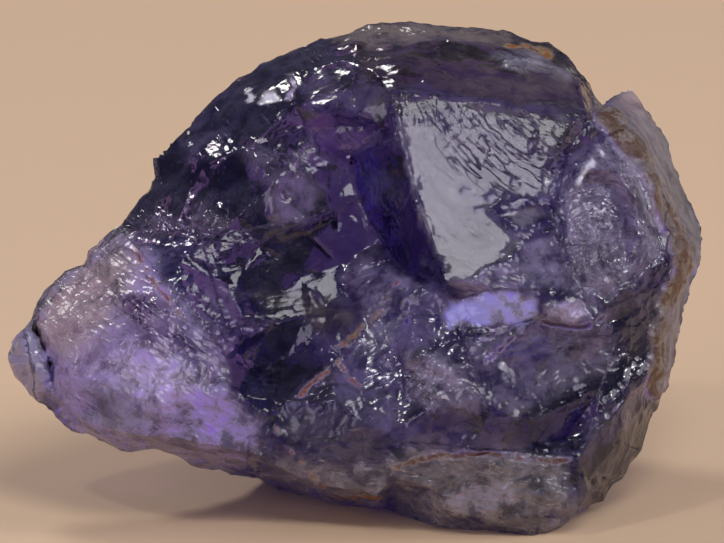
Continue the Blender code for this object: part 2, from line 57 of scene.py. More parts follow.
# The fine mesh: its longest edges in front and behind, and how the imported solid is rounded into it.
# FRONT_EDGE is how far a face may turn away from the viewer before the zones leave it.
FINE_EDGE = 0.2
COARSE_EDGE = 0.45
TURNED_AWAY = -0.05
REFINING_STEPS = 7
RIDGE_ANGLE = math.radians(15.0)
CRISP_ANGLE = math.radians(32.0)
FACE_SMOOTHING = 8
RIDGE_SMOOTHING = 3
RIDGE_REACH = 3
FLOOR_MARGIN = 0.05
FRONT_EDGE = (-0.35, 0.0)

# The hackle lines: how far they are stretched out, and how far they are bent out of their run.
LINE_STRETCH = 4.0
ARC_STRETCH = 3.0
PLAIN_GRAIN_ANGLE = 30.0
BEND = 0.35

# The crystal's inside, and how milky its surface gets where it isn't clear.
REFRACTIVE_INDEX = 1.54
BODY_COLOUR = (0.38, 0.25, 0.72, 1.0)
BODY_DENSITY = 420.0
HAZE = 0.45

# The powers that lighten the haze's colour for the pale threads, and for light that goes into the crystal.
THREAD_POWER = 0.3
CLEAR_POWER = 0.22

# The power that widens the reach of a seam's colour over that of the rest of the seam.
STAIN_SPREAD = 0.4

# How deep the shader's bowls, splinters and grains are at height 1, and the grooves' height in that.
BUMP_DEPTH = 0.8
GROOVE_DEPTH = 0.05

# Colours of the stone's surface, as a share of red, green and blue.
NAVY = (0.012, 0.010, 0.09)
DEEP_BLUE = (0.05, 0.035, 0.30)
VIOLET = (0.10, 0.05, 0.55)
PURPLE = (0.18, 0.08, 0.55)
LILAC = (0.36, 0.23, 0.90)
PALE_LILAC = (0.62, 0.46, 1.0)
SILVER = (0.34, 0.30, 0.48)
PALE_BLUE = (0.40, 0.40, 0.98)
# A painted highlight: white haze for glints painted onto the surface, not a colour of the stone.
PAINTED_HIGHLIGHT_WHITE = (0.85, 0.83, 0.92)
TAN = (0.46, 0.30, 0.36)
BROWN = (0.12, 0.06, 0.042)
DARK_BROWN = (0.032, 0.018, 0.013)
RUST = (0.24, 0.085, 0.010)

FLOOR_COLOUR = (0.87, 0.63, 0.39, 1.0)
SKY_COLOUR = (0.62, 0.56, 0.90, 1.0)
SKY_STRENGTH = 0.16

# The lamps, by their direction in the front view. The silver facet shows the image of the key lamp, the
# shell fracture that of the right one and the nose that of the left one. The small lamps make the glints,
# apart from the painted highlights on the shoulder and on the shell fracture's rim.
LAMPS = {
    "key": dict(
        direction=(0.22, 0.68, 0.70), distance=320.0, size=150.0, radiance=5.2, colour=(0.98, 0.96, 1.0)),
    "left": dict(
        direction=(-0.66, 0.24, 0.70), distance=320.0, size=150.0, radiance=2.4, colour=(0.88, 0.82, 1.0)),
    "right": dict(
        direction=(0.84, 0.51, 0.17), distance=320.0, size=170.0, radiance=3.2, colour=(0.94, 0.90, 1.0)),
    "right_back": dict(
        direction=(0.75, 0.36, -0.55), distance=340.0, size=200.0, radiance=0.8, colour=(1.0, 0.96, 0.90)),
    "top": dict(
        direction=(-0.30, 0.88, -0.36), distance=320.0, size=76.0, radiance=16.0, colour=(1.0, 0.97, 0.93)),
    "left_glint": dict(
        direction=(-0.46, 0.68, 0.57), distance=320.0, size=30.0, radiance=40.0, colour=(1.0, 1.0, 1.0)),
    "right_glint": dict(
        direction=(0.90, 0.42, 0.10), distance=320.0, size=30.0, radiance=40.0, colour=(1.0, 1.0, 1.0)),
}

# What the broken surface is like by zones of the front view: the haze's colour, how clear the crystal is
# there (below 0 the haze gets denser), how rough and how hackled. Chip, how deep the bowls are, and threads,
# how strong the pale lines are, are given where they aren't the same as hackle. Threads below 0 are grooves
# cut along such lines instead. Later zones lie over earlier ones.
ZONES = {
    "dark upper left": dict(
        outline=[(-9.6, 12.0), (-8.3, 14.0), (-8.4, 15.0), (-5.9, 17.3), (-3.0, 19.3), (0.8, 20.3),
                 (1.3, 17.2), (1.2, 15.8), (0.2, 14.0), (-0.2, 12.6), (-1.6, 11.8), (-4.0, 11.0),
                 (-6.5, 11.2), (-8.0, 11.6)],
        soft=0.5, tint=NAVY, clear=0.85, rough=0.08, hackle=0.12, chip=0.5, threads=0.5),
    "nose": dict(
        outline=[(-13.4, 7.8), (-11.6, 10.4), (-9.5, 11.7), (-8.0, 10.7), (-6.4, 8.3), (-5.4, 6.7),
                 (-4.9, 5.0), (-3.9, 4.0), (-4.6, 2.2), (-8.0, 2.6), (-11.8, 3.6), (-12.4, 5.5)],
        soft=0.4, tint=LILAC, clear=0.25, rough=0.2, hackle=0.4, chip=0.6),
    "right part of the nose": dict(
        outline=[(-9.2, 8.1), (-8.1, 8.1), (-6.9, 8.0), (-5.5, 6.6), (-6.2, 6.2), (-7.6, 6.6)],
        soft=0.6, tint=VIOLET, clear=0.75, rough=0.15, hackle=0.4),
    "bright belly of the nose": dict(
        outline=[(-10.2, 6.2), (-9.0, 6.7), (-7.2, 6.4), (-6.2, 5.6), (-7.0, 5.0), (-8.8, 5.1)],
        soft=0.9, tint=PALE_LILAC, clear=-0.5, rough=0.25, hackle=0.7, chip=0.4),
    "foot of the nose": dict(
        outline=[(-6.6, 5.2), (-5.4, 5.3), (-4.6, 4.2), (-4.0, 3.2), (-5.6, 2.9), (-7.6, 3.6)],
        soft=0.7, tint=LILAC, clear=-0.3, rough=0.25, hackle=0.6),
    "blue patch under the nose": dict(
        outline=[(-11.0, 5.4), (-10.8, 4.3), (-9.4, 3.9), (-8.2, 4.3), (-9.0, 5.0), (-10.0, 5.6)],
        soft=0.4, tint=PALE_BLUE, clear=0.6, rough=0.2, hackle=0.3),
    "tan brow of the nose": dict(
        outline=[(-13.0, 7.2), (-12.7, 9.0), (-11.3, 10.4), (-9.6, 11.5), (-8.7, 10.6), (-9.1, 9.2),
                 (-9.9, 8.1), (-10.6, 7.2), (-11.6, 6.6)],
        soft=0.7, tint=TAN, clear=0.0, rough=0.25, hackle=0.6),
    "glints on the nose": dict(
        outline=[(-9.4, 9.1), (-9.0, 7.9), (-8.3, 8.2), (-7.4, 8.4), (-7.2, 9.0), (-8.2, 9.1)],
        soft=0.25, tint=LILAC, clear=0.85, rough=0.04, hackle=1.0),
    "silver patch beside the nose": dict(
        outline=[(-7.35, 10.8), (-7.4, 10.0), (-7.0, 9.3), (-6.6, 9.1), (-6.6, 9.9), (-6.9, 10.9)],
        soft=0.15, tint=SILVER, clear=0.5, rough=0.15, hackle=0.8),
    "dark side of the nose": dict(
        outline=[(-7.6, 11.2), (-6.6, 11.5), (-6.2, 9.4), (-5.8, 8.2), (-6.5, 8.4), (-7.2, 9.2),
                 (-8.2, 10.2)],
        soft=0.3, tint=VIOLET, clear=0.85, rough=0.1, hackle=0.5),
    "knob": dict(
        outline=[(-14.3, 6.6), (-13.5, 8.2), (-12.9, 8.2), (-12.4, 6.6), (-12.4, 5.2), (-13.6, 5.2)],
        soft=0.2, tint=SILVER, clear=-1.2, rough=0.1, hackle=1.0),
    "blue spot by the knob": dict(
        outline=[(-12.6, 5.4), (-12.3, 5.5), (-11.9, 4.7), (-12.2, 4.4)],
        soft=0.12, tint=DEEP_BLUE, clear=0.7, rough=0.15, hackle=0.2),
    "sparkling ledge over the nose": dict(
        outline=[(-9.2, 12.1), (-7.6, 12.7), (-6.4, 12.9), (-5.1, 12.2), (-5.5, 11.7), (-7.2, 11.6),
                 (-8.6, 11.2)],
        soft=0.35, tint=LILAC, clear=0.8, rough=0.06, hackle=1.0),
    "black step of the shoulder": dict(
        outline=[(-8.4, 14.0), (-8.3, 15.0), (-7.2, 15.4), (-7.0, 13.9), (-7.8, 13.6)],
        soft=0.15, tint=NAVY, clear=0.97, rough=0.08, hackle=0.06),
    "black band of the shoulder": dict(
        outline=[(-6.9, 14.5), (-4.6, 14.9), (-4.4, 13.9), (-5.4, 13.5), (-6.9, 13.4)],
        soft=0.2, tint=NAVY, clear=0.97, rough=0.08, hackle=0.08),
    "violet slab of the shoulder": dict(
        outline=[(-7.1, 15.6), (-6.2, 16.4), (-5.0, 15.5), (-4.7, 15.0), (-6.8, 14.6)],
        soft=0.3, tint=VIOLET, clear=0.85, rough=0.1, hackle=0.3),
    "purple glow": dict(
        outline=[(-3.6, 13.6), (-2.6, 14.4), (-1.7, 13.8), (-1.6, 12.6), (-2.6, 11.9), (-3.5, 12.4)],
        soft=0.5, tint=PURPLE, clear=0.5, rough=0.14, hackle=0.08, chip=0.05, threads=0.3),
    "crystalline ridge over the glow": dict(
        outline=[(-4.6, 15.3), (-3.2, 15.2), (-1.6, 15.1), (-1.4, 14.4), (-2.8, 14.3), (-4.2, 14.0),
                 (-4.9, 14.6)],
        soft=0.3, tint=PURPLE, clear=0.75, rough=0.1, hackle=0.5, chip=0.6, threads=0.8),
    "violet band": dict(
        outline=[(-2.5, 16.0), (-1.2, 16.4), (0.2, 16.2), (1.3, 15.9), (1.5, 15.1), (0.0, 14.9),
                 (-1.6, 14.9)],
        soft=0.15, tint=(0.14, 0.05, 0.7), clear=0.85, rough=0.12, hackle=0.12, threads=0.4),
    "plate over the violet band": dict(
        outline=[(-2.4, 17.0), (-2.0, 18.2), (0.2, 18.0), (0.9, 16.9), (0.6, 16.3), (-1.0, 16.6)],
        soft=0.3, tint=VIOLET, clear=0.8, rough=0.12, hackle=0.15, threads=0.5),
    "dull facet beside the silver one": dict(
        outline=[(0.1, 18.1), (1.0, 18.2), (1.3, 17.2), (1.2, 16.1), (0.3, 16.4), (-0.4, 16.9)],
        soft=0.12, tint=(0.05, 0.035, 0.09), clear=0.7, rough=0.15, hackle=0.1),
    "dark wall": dict(
        outline=[(-1.0, 14.9), (1.6, 15.2), (2.3, 12.6), (3.1, 10.3), (3.4, 9.8), (2.5, 9.5), (1.3, 10.2),
                 (0.5, 11.2), (0.2, 12.6), (-0.4, 13.8)],
        soft=0.2, tint=NAVY, clear=0.97, rough=0.08, hackle=0.1, chip=0.2, threads=0.35),
    # Partly painted shade: the navy tint darkens this shaded valley's haze and see-through colour beyond the
    # crystal's own deep blue.
    "dark valley": dict(
        outline=[(-5.6, 11.8), (-4.0, 11.3), (-2.2, 11.9), (0.0, 12.9), (0.8, 11.2), (-0.6, 10.0),
                 (-0.2, 9.0), (-2.4, 8.2), (-4.9, 8.0), (-5.6, 9.6)],
        soft=0.5, tint=NAVY, clear=0.9, rough=0.08, hackle=0.08, chip=0.15, threads=0.45),
    "brown foot of the valley": dict(
        outline=[(-4.8, 9.2), (-2.4, 9.4), (-0.9, 9.1), (0.1, 8.4), (-0.5, 7.4), (-1.8, 7.6),
                 (-2.4, 8.4)],
        soft=0.4, tint=DARK_BROWN, clear=0.7, rough=0.2, hackle=0.25, chip=0.3, threads=0.5),
    "blue flank of the pit": dict(
        outline=[(-6.2, 9.3), (-5.0, 9.2), (-4.9, 7.6), (-5.4, 7.0), (-6.2, 8.0)],
        soft=0.3, tint=DEEP_BLUE, clear=0.75, rough=0.15, hackle=0.6),
    "dark pit": dict(
        outline=[(-5.4, 6.6), (-4.2, 7.5), (-3.5, 7.9), (-2.2, 8.2), (-1.7, 7.2), (-1.6, 6.3),
                 (-2.6, 5.2), (-3.9, 4.5), (-4.6, 5.0), (-5.1, 5.7)],
        soft=0.2, tint=NAVY, clear=0.92, rough=0.08, hackle=0.06, threads=0.25),
    "violet field": dict(
        outline=[(-1.2, 6.6), (-0.2, 7.6), (0.8, 8.4), (1.9, 9.2), (2.9, 9.6), (3.7, 9.0), (2.8, 7.2),
                 (2.0, 6.4), (1.9, 4.6), (1.4, 3.2), (0.2, 4.2), (-0.8, 5.0)],
        soft=0.3, tint=VIOLET, clear=0.6, rough=0.14, hackle=0.18, chip=0.4, threads=0.6),
    "blue facet": dict(
        outline=[(-0.5, 6.7), (0.0, 7.5), (0.6, 8.1), (1.8, 8.3), (1.3, 7.3), (0.6, 6.7)],
        soft=0.2, tint=(0.12, 0.09, 0.42), clear=0.4, rough=0.2, hackle=0.3),
    "knotted crystals": dict(
        outline=[(1.8, 6.8), (2.4, 7.0), (3.3, 6.6), (4.6, 6.0), (5.6, 5.2), (4.4, 4.6), (2.9, 4.7),
                 (2.0, 5.2)],
        soft=0.35, tint=PALE_LILAC, clear=0.5, rough=0.08, hackle=1.0, chip=1.3),
    "pale blue ledge": dict(
        outline=[(3.6, 8.8), (5.3, 9.35), (6.2, 9.35), (6.85, 9.0), (7.0, 8.4), (6.5, 8.05), (5.5, 7.95),
                 (4.3, 8.1), (3.4, 8.0)],
        soft=0.18, tint=PALE_BLUE, clear=-1.8, rough=0.2, hackle=0.4),
    "white facets": dict(
        outline=[(7.2, 8.9), (8.6, 9.0), (9.0, 8.5), (8.4, 8.1), (7.3, 8.2)],
        soft=0.12, tint=PALE_LILAC, clear=0.2, rough=0.12, hackle=0.9),
    "broad violet facet": dict(
        outline=[(4.4, 7.4), (6.2, 7.9), (8.8, 7.9), (10.2, 6.9), (9.4, 5.4), (7.4, 4.4), (5.2, 4.4),
                 (4.2, 5.6)],
        soft=0.5, tint=LILAC, clear=0.75, rough=0.16, hackle=0.18, chip=0.35, threads=0.5),
    "dark flank at the right": dict(
        outline=[(9.6, 9.1), (11.4, 9.8), (12.2, 9.0), (11.8, 6.4), (11.0, 5.4), (10.2, 6.0),
                 (10.4, 7.4)],
        soft=0.35, tint=(0.03, 0.02, 0.035), clear=0.85, rough=0.12, hackle=0.4, chip=0.6),
    "dark hollow at lower right": dict(
        outline=[(5.9, 4.1), (7.3, 4.9), (9.0, 5.7), (10.4, 6.5), (11.0, 6.2), (9.6, 4.6), (8.3, 2.8),
                 (6.4, 2.8)],
        soft=0.25, tint=NAVY, clear=0.93, rough=0.08, hackle=0.2, chip=0.3, threads=0.5),
    "pale ridge at lower right": dict(
        outline=[(11.6, 5.9), (11.3, 5.9), (9.6, 4.5), (8.5, 3.2), (8.0, 2.0), (8.2, 0.9), (8.6, 1.0),
                 (8.6, 2.0), (9.1, 3.1), (10.3, 4.3)],
        soft=0.15, tint=PURPLE, clear=0.85, rough=0.2, hackle=0.5),
    "brown facets at lower right": dict(
        outline=[(9.0, 2.4), (9.5, 3.3), (10.6, 4.0), (11.5, 4.9), (11.9, 3.6), (10.9, 2.0), (9.8, 0.6),
                 (8.8, 0.7)],
        soft=0.15, tint=(0.02, 0.012, 0.01), clear=0.97, rough=0.15, hackle=0.2, threads=0.4),
    "plate at lower middle": dict(
        outline=[(-3.4, 4.9), (-0.6, 4.8), (0.1, 4.1), (0.9, 2.8), (-0.6, 2.6), (-2.7, 3.3)],
        soft=0.2, tint=(0.07, 0.05, 0.15), clear=0.8, rough=0.18, hackle=0.3, threads=0.6),
    "foot of the stone": dict(
        outline=[(-4.2, 3.0), (-2.6, 2.8), (0.6, 2.4), (2.0, 3.2), (4.4, 2.8), (8.2, 2.6), (8.4, 0.0),
                 (6.0, -1.0), (2.0, -0.6), (-1.6, 0.2), (-4.6, 1.2)],
        soft=0.3, tint=(0.34, 0.29, 0.36), clear=0.45, rough=0.1, hackle=0.8, chip=0.8, threads=1.0),
    "silver lens of the foot": dict(
        outline=[(3.2, 1.2), (3.7, 1.6), (4.6, 1.8), (6.0, 1.7), (6.3, 1.0), (5.4, 0.5), (4.0, 0.5)],
        soft=0.2, tint=SILVER, clear=0.0, rough=0.15, hackle=0.8),
    "brown cap": dict(
        outline=[(1.1, 17.4), (3.5, 17.1), (6.5, 16.6), (9.0, 16.5), (10.2, 16.6), (9.2, 18.4),
                 (7.8, 19.8), (5.0, 20.6), (0.5, 20.6), (-1.8, 19.8), (-0.4, 18.8), (0.4, 18.0)],
        soft=0.15, tint=(0.06, 0.024, 0.008), clear=0.88, rough=0.1, hackle=0.18, chip=0.6, threads=0.4),
    "brown lens of the cap": dict(
        outline=[(4.0, 17.5), (5.0, 18.6), (6.6, 18.9), (8.4, 18.0), (9.0, 16.8), (6.5, 16.9),
                 (4.8, 17.2)],
        soft=0.3, tint=(0.13, 0.055, 0.022), clear=0.8, rough=0.14, hackle=0.3),
    "frosted patch of the cap": dict(
        outline=[(5.4, 18.6), (6.8, 18.9), (8.2, 18.2), (8.4, 17.8), (7.2, 18.2), (6.0, 18.3)],
        soft=0.3, tint=SILVER, clear=0.3, rough=0.25, hackle=0.9),
    "top plate": dict(
        outline=[(-1.0, 19.4), (0.6, 19.1), (3.0, 19.4), (6.2, 19.3), (5.6, 20.1), (3.0, 20.4),
                 (0.5, 20.4)],
        soft=0.15, tint=BROWN, clear=0.3, rough=0.2, hackle=0.5),
    # Painted highlights: three small patches of white and pale lilac haze that stand in for glints on the
    # shoulder.
    "left glint of the shoulder": dict(
        outline=[(-4.65, 16.9), (-4.5, 17.4), (-4.2, 17.5), (-4.25, 16.95)],
        soft=0.06, tint=PAINTED_HIGHLIGHT_WHITE, clear=-0.8, rough=0.15, hackle=0.3),
    "right glint of the shoulder": dict(
        outline=[(-4.1, 16.85), (-3.9, 17.25), (-3.4, 17.3), (-3.1, 16.9)],
        soft=0.06, tint=PAINTED_HIGHLIGHT_WHITE, clear=-0.8, rough=0.15, hackle=0.3),
    "upright glint of the shoulder": dict(
        outline=[(-2.95, 16.9), (-2.8, 18.0), (-2.55, 18.0), (-2.6, 16.9)],
        soft=0.06, tint=PALE_LILAC, clear=0.0, rough=0.15, hackle=0.5),
    "silver facet": dict(
        outline=[(1.25, 17.2), (3.5, 17.0), (6.5, 16.45), (8.9, 16.3), (8.2, 15.2), (7.5, 14.2),
                 (7.5, 13.1), (6.3, 13.0), (5.0, 12.7), (5.4, 12.3), (6.1, 11.6), (6.25, 11.1),
                 (5.8, 10.6), (4.4, 9.75), (3.45, 9.7), (2.95, 11.0), (2.35, 12.5), (1.6, 15.4)],
        soft=0.07, tint=SILVER, clear=0.72, rough=0.13, hackle=0.08, chip=0.03, threads=-0.05),
    "hackled head of the silver facet": dict(
        outline=[(1.3, 17.1), (8.7, 16.2), (7.4, 14.2), (7.4, 13.2), (5.6, 13.3), (4.2, 14.2),
                 (2.2, 16.0)],
        soft=0.5, tint=(0.20, 0.18, 0.30), clear=0.8, rough=0.12, hackle=0.2, chip=0.04, threads=-1.0),
    "pane under the groove": dict(
        outline=[(5.4, 12.5), (7.6, 12.6), (7.75, 12.2), (6.3, 12.0)],
        soft=0.06, tint=SILVER, clear=0.7, rough=0.13, hackle=0.2, chip=0.1),
    "right pane": dict(
        outline=[(6.4, 11.2), (7.7, 11.6), (7.9, 10.2), (8.2, 9.4), (6.5, 9.6), (6.2, 10.5)],
        soft=0.15, tint=(0.22, 0.17, 0.6), clear=0.5, rough=0.13, hackle=0.2, chip=0.1),
    "lilac sill of the silver facet": dict(
        outline=[(3.6, 9.6), (4.6, 9.8), (6.2, 10.6), (6.6, 9.6), (5.4, 9.4), (4.4, 9.1)],
        soft=0.2, tint=LILAC, clear=0.35, rough=0.2, hackle=0.5),
    "shell fracture": dict(
        outline=[(8.4, 13.6), (9.2, 15.0), (10.4, 15.4), (11.2, 14.4), (11.8, 12.8), (11.9, 11.0),
                 (11.2, 9.8), (9.8, 9.2), (8.4, 9.4), (8.2, 11.0), (8.2, 12.6)],
        soft=0.15, tint=(0.26, 0.19, 0.52), clear=0.5, rough=0.13, hackle=0.4, chip=0.04, threads=-0.8),
    "crusted right rim": dict(
        outline=[(9.5, 17.0), (10.6, 16.6), (11.8, 14.8), (13.4, 11.6), (13.6, 10.4), (12.4, 8.4),
                 (12.0, 5.0), (11.4, 5.2), (11.6, 8.2), (12.3, 10.2), (12.0, 11.6), (10.9, 14.4),
                 (9.3, 16.2)],
        soft=0.2, tint=(0.1, 0.05, 0.03), clear=-1.2, rough=0.5, hackle=0.8, chip=1.3),
    "flange": dict(
        outline=[(10.1, 17.0), (11.0, 18.0), (12.4, 16.0), (14.4, 12.0), (14.6, 9.0), (13.0, 5.6),
                 (11.9, 4.6), (12.2, 7.8), (13.3, 10.4), (13.0, 11.6), (11.6, 14.6)],
        soft=0.2, tint=(0.2, 0.15, 0.15), clear=0.4, rough=0.5, hackle=0.3),
}

# Grooves, seams, stains and one painted highlight along lines of the front view, as far out from each
# line as its width.
SEAMS = {
    "groove across the silver facet": dict(
        line=[(4.2, 13.4), (5.2, 13.1), (6.4, 12.95), (7.7, 13.0)],
        width=0.32, tint=VIOLET, clear=0.7, rough=0.15, hackle=0.3),
    "lower groove of the silver facet": dict(
        line=[(4.7, 12.6), (5.4, 12.35), (6.15, 11.6), (7.0, 11.8), (7.8, 12.0)],
        width=0.24, tint=VIOLET, clear=0.7, rough=0.15, hackle=0.2),
    "groove to the shell fracture": dict(
        line=[(9.2, 15.3), (8.5, 14.3), (8.1, 13.3), (7.95, 12.0), (8.0, 10.8), (8.25, 9.6)],
        width=0.42, tint=(0.13, 0.09, 0.42), clear=0.6, rough=0.2, hackle=0.2),
    # A painted highlight: a thin line of white haze along the shell fracture's upper rim.
    "painted highlight on the rim of the shell fracture": dict(
        line=[(8.75, 13.7), (9.1, 14.3), (9.6, 14.85)],
        width=0.2, tint=PAINTED_HIGHLIGHT_WHITE, clear=-2.5, rough=0.25, hackle=0.6),
    "dark fault in the shell fracture": dict(
        line=[(10.7, 13.9), (11.0, 13.0), (11.4, 12.2)],
        width=0.2, tint=DARK_BROWN, clear=0.6, rough=0.3, hackle=0.5),
    "upper stained crack": dict(
        line=[(-8.9, 10.9), (-8.6, 10.4), (-8.2, 9.7), (-7.6, 9.0), (-7.1, 8.25)],
        width=0.13, tint=RUST, clear=-1.5, rough=0.6, hackle=0.8),
    "stained crack": dict(
        line=[(1.6, 9.7), (1.2, 9.0), (0.9, 8.5), (0.4, 8.1), (0.0, 7.9), (-0.3, 7.4), (-0.6, 7.0),
              (-0.9, 6.6), (-1.5, 6.0), (-2.0, 5.6), (-2.4, 5.2)],
        width=0.13, tint=RUST, clear=-1.5, rough=0.65, hackle=0.8),
    "stained heart of the crack": dict(
        line=[(-0.9, 7.0), (-0.5, 7.35), (-0.1, 7.6)],
        width=0.16, tint=RUST, clear=-1.5, rough=0.7, hackle=0.9),
    "branch of the crack": dict(
        line=[(-0.9, 6.5), (-0.5, 6.0), (-0.1, 5.6)],
        width=0.13, tint=RUST, clear=-1.5, rough=0.6, hackle=0.6),
    "hair crack": dict(
        line=[(1.9, 8.9), (1.8, 8.4), (1.9, 8.1)],
        width=0.16, tint=DARK_BROWN, clear=-4.0, rough=0.6, hackle=0.4),
    "lower crack": dict(
        line=[(-3.4, 4.0), (-2.7, 3.1), (-2.0, 2.3), (-1.3, 1.4), (-0.8, 1.2), (0.8, 1.2)],
        width=0.13, tint=RUST, clear=-1.5, rough=0.6, hackle=0.6),
    "seam under the pale ledge": dict(
        line=[(4.9, 7.5), (6.4, 8.05), (7.0, 8.3), (7.5, 8.05), (8.8, 7.9), (9.8, 8.4)],
        width=0.17, tint=DARK_BROWN, clear=-2.5, rough=0.4, hackle=0.4),
    "seam through the broad facet": dict(
        line=[(6.4, 8.0), (5.8, 7.3), (5.0, 6.6)],
        width=0.14, tint=DARK_BROWN, clear=-2.5, rough=0.4, hackle=0.4),
    "seam over the foot": dict(
        line=[(1.4, 2.4), (3.0, 2.9), (5.0, 2.9), (6.4, 2.7), (8.4, 2.6)],
        width=0.2, tint=BROWN, clear=-2.5, rough=0.45, hackle=0.8),
    "gap beside the knob": dict(
        line=[(-13.05, 8.3), (-12.9, 7.8), (-12.4, 6.6), (-12.25, 5.9)],
        width=0.3, tint=DARK_BROWN, clear=-4.0, rough=0.6, hackle=0.3),
    "rust in the cap": dict(
        line=[(6.0, 19.2), (6.8, 19.1), (7.6, 18.9)],
        width=0.3, tint=RUST, clear=-1.5, rough=0.6, hackle=0.8),
}

# Which way the hackle lines run: about a centre of the front view, or straight at an angle in degrees.
GRAIN = {
    "silver facet": dict(
        outline=[(1.0, 17.6), (9.2, 16.6), (8.3, 15.0), (7.9, 13.0), (8.0, 9.4), (3.2, 9.4), (1.9, 13.0)],
        centre=(9.5, 19.5)),
    "shell fracture": dict(
        outline=[(8.1, 13.0), (9.2, 15.4), (10.6, 15.8), (12.2, 12.8), (12.2, 9.8), (10.0, 8.8),
                 (8.2, 9.2)],
        centre=(9.4, 11.2)),
    "upper left": dict(
        outline=[(-9.6, 12.0), (-8.3, 15.2), (-5.9, 17.4), (-3.0, 19.4), (1.3, 17.4), (1.4, 15.2),
                 (-1.0, 14.9), (-0.6, 12.6), (-6.5, 11.4)],
        angle=-42.0),
    "nose": dict(
        outline=[(-13.4, 7.8), (-11.6, 10.4), (-9.5, 11.7), (-6.4, 8.3), (-4.4, 5.6), (-3.6, 2.0),
                 (-12.4, 3.4)],
        angle=-32.0),
    "valley": dict(
        outline=[(-6.4, 11.8), (-4.0, 11.3), (0.0, 13.0), (1.3, 10.6), (-0.2, 8.6), (-5.4, 7.8)],
        angle=12.0),
    "wall": dict(
        outline=[(-1.0, 14.9), (1.6, 15.2), (3.4, 9.8), (1.3, 10.2), (0.0, 13.0)],
        angle=-62.0),
    "cap": dict(
        outline=[(1.1, 17.4), (9.0, 16.6), (10.2, 16.6), (7.8, 19.8), (0.5, 20.6), (-2.4, 19.4)],
        angle=-20.0),
    "foot": dict(
        outline=[(-4.4, 3.6), (2.0, 3.4), (8.6, 2.8), (8.6, -1.0), (-4.6, 0.6)],
        angle=-8.0),
    "broad facet": dict(
        outline=[(4.0, 7.6), (10.2, 7.6), (9.4, 5.0), (5.2, 4.0)],
        angle=22.0),
}


# How far the front of these zones is taken toward one flat face.
FLAT_FACES = {"silver facet": 0.8, "purple glow": 0.6, "dark valley": 0.55}


def front_view(points):
    """Points of the row frame, in metres, as (across, up, toward) in millimetres."""
    x, y, z = (np.asarray(points) / MM - FRONT_ZERO).T
    tilt_sin, tilt_cos = math.sin(VIEW_TILT), math.cos(VIEW_TILT)
    return np.stack((x, y * tilt_sin + z * tilt_cos, z * tilt_sin - y * tilt_cos), axis=1)


def row_frame(points):
    """Points (across, up, toward) in millimetres as points of the row frame, in metres."""
    across, up, toward = np.asarray(points, float).T
    tilt_sin, tilt_cos = math.sin(VIEW_TILT), math.cos(VIEW_TILT)
    placed = np.stack((across, up * tilt_sin - toward * tilt_cos, up * tilt_cos + toward * tilt_sin), axis=1)
    return (placed + FRONT_ZERO) * MM


def front_direction(direction):
    """A direction of the front view as a direction of the row frame."""
    zero, tip = row_frame([(0.0, 0.0, 0.0), direction])
    return Vector(tip - zero).normalized()


def lattice(cells, seed):
    """A random number from 0 to 1 for each whole-number cell."""
    x, y, z = cells.astype(np.uint32).T
    mixed = x * np.uint32(374761393) + y * np.uint32(668265263) + z * np.uint32(2246822519)
    mixed = mixed + np.uint32(seed * 3266489917 % 2**32)
    mixed = (mixed ^ (mixed >> np.uint32(13))) * np.uint32(1274126177)
    mixed = (mixed ^ (mixed >> np.uint32(15))) * np.uint32(2654435761)
    return (mixed ^ (mixed >> np.uint32(16))) / 4294967295.0


def waves(points, size, seed):
    """Smooth random waves of about that size, from -1 to 1."""
    scaled = points / size
    corner = np.floor(scaled)
    part = scaled - corner
    corner = corner.astype(np.int64)
    fade = part**3 * (part * (part * 6.0 - 15.0) + 10.0)
    total = np.zeros(len(points))
    for offset in itertools.product((0, 1), repeat=3):
        weight = np.prod(np.where(offset, fade, 1.0 - fade), axis=1)
        total += weight * lattice(corner + offset, seed)
    return total * 2.0 - 1.0


def rough_waves(points, size, octaves, seed):
    """Random waves with finer waves on them."""
    total = sum(waves(points, size / 2**i, seed + i) / 2**i for i in range(octaves))
    return total / sum(1.0 / 2**i for i in range(octaves))


def scoops(points, size, seed):
    """Shallow leaning bowls side by side, with sharp rims between them, as glass has where it broke."""
    scaled = points / size
    corner = np.floor(scaled).astype(np.int64)
    lowest = np.full(len(points), np.inf)
    for offset in itertools.product((-1, 0, 1), repeat=3):
        cell = corner + offset
        centre = np.stack([lattice(cell, seed + i) for i in range(3)], axis=1)
        lean = np.stack([lattice(cell, seed + 3 + i) for i in range(3)], axis=1) - 0.5
        away = scaled - cell - centre
        depth = np.sum(away * (away + lean), axis=1) + 0.3 * lattice(cell, seed + 6)
        lowest = np.minimum(lowest, depth)
    return lowest


def smooth_step(value, low, high):
    """0 at low, 1 at high, and a smooth curve between them."""
    part = np.clip((value - low) / (high - low), 0.0, 1.0)
    return part * part * (3.0 - 2.0 * part)


def distance_from(points, line):
    """How far each point is from a line of the front view."""
    at = points[:, :2]
    nearest = np.full(len(at), np.inf)
    for start, end in zip(line, line[1:]):
        run = np.subtract(end, start)
        share = np.clip((at - start) @ run / (run @ run), 0.0, 1.0)
        nearest = np.minimum(nearest, np.linalg.norm(at - start - share[:, None] * run, axis=1))
    return nearest


def inside(points, outline, soft):
    """1 inside an outline of the front view, 0 outside it, and in between within soft millimetres."""
    across, up = points[:, 0], points[:, 1]
    closed = outline + outline[:1]
    crossings = np.zeros(len(points), int)
    for (x0, y0), (x1, y1) in zip(closed, closed[1:]):
        if y0 != y1:
            meets = x0 + (up - y0) * (x1 - x0) / (y1 - y0)
            crossings += ((y0 > up) != (y1 > up)) & (across < meets)
    nearest = distance_from(points, closed)
    signed = np.where(crossings % 2 == 1, nearest, -nearest)
    return smooth_step(signed, -soft, soft)


def near_line(points, line, width):
    """1 on a line of the front view, falling to 0 at width millimetres from it."""
    return 1.0 - smooth_step(distance_from(points, line), 0.0, width)


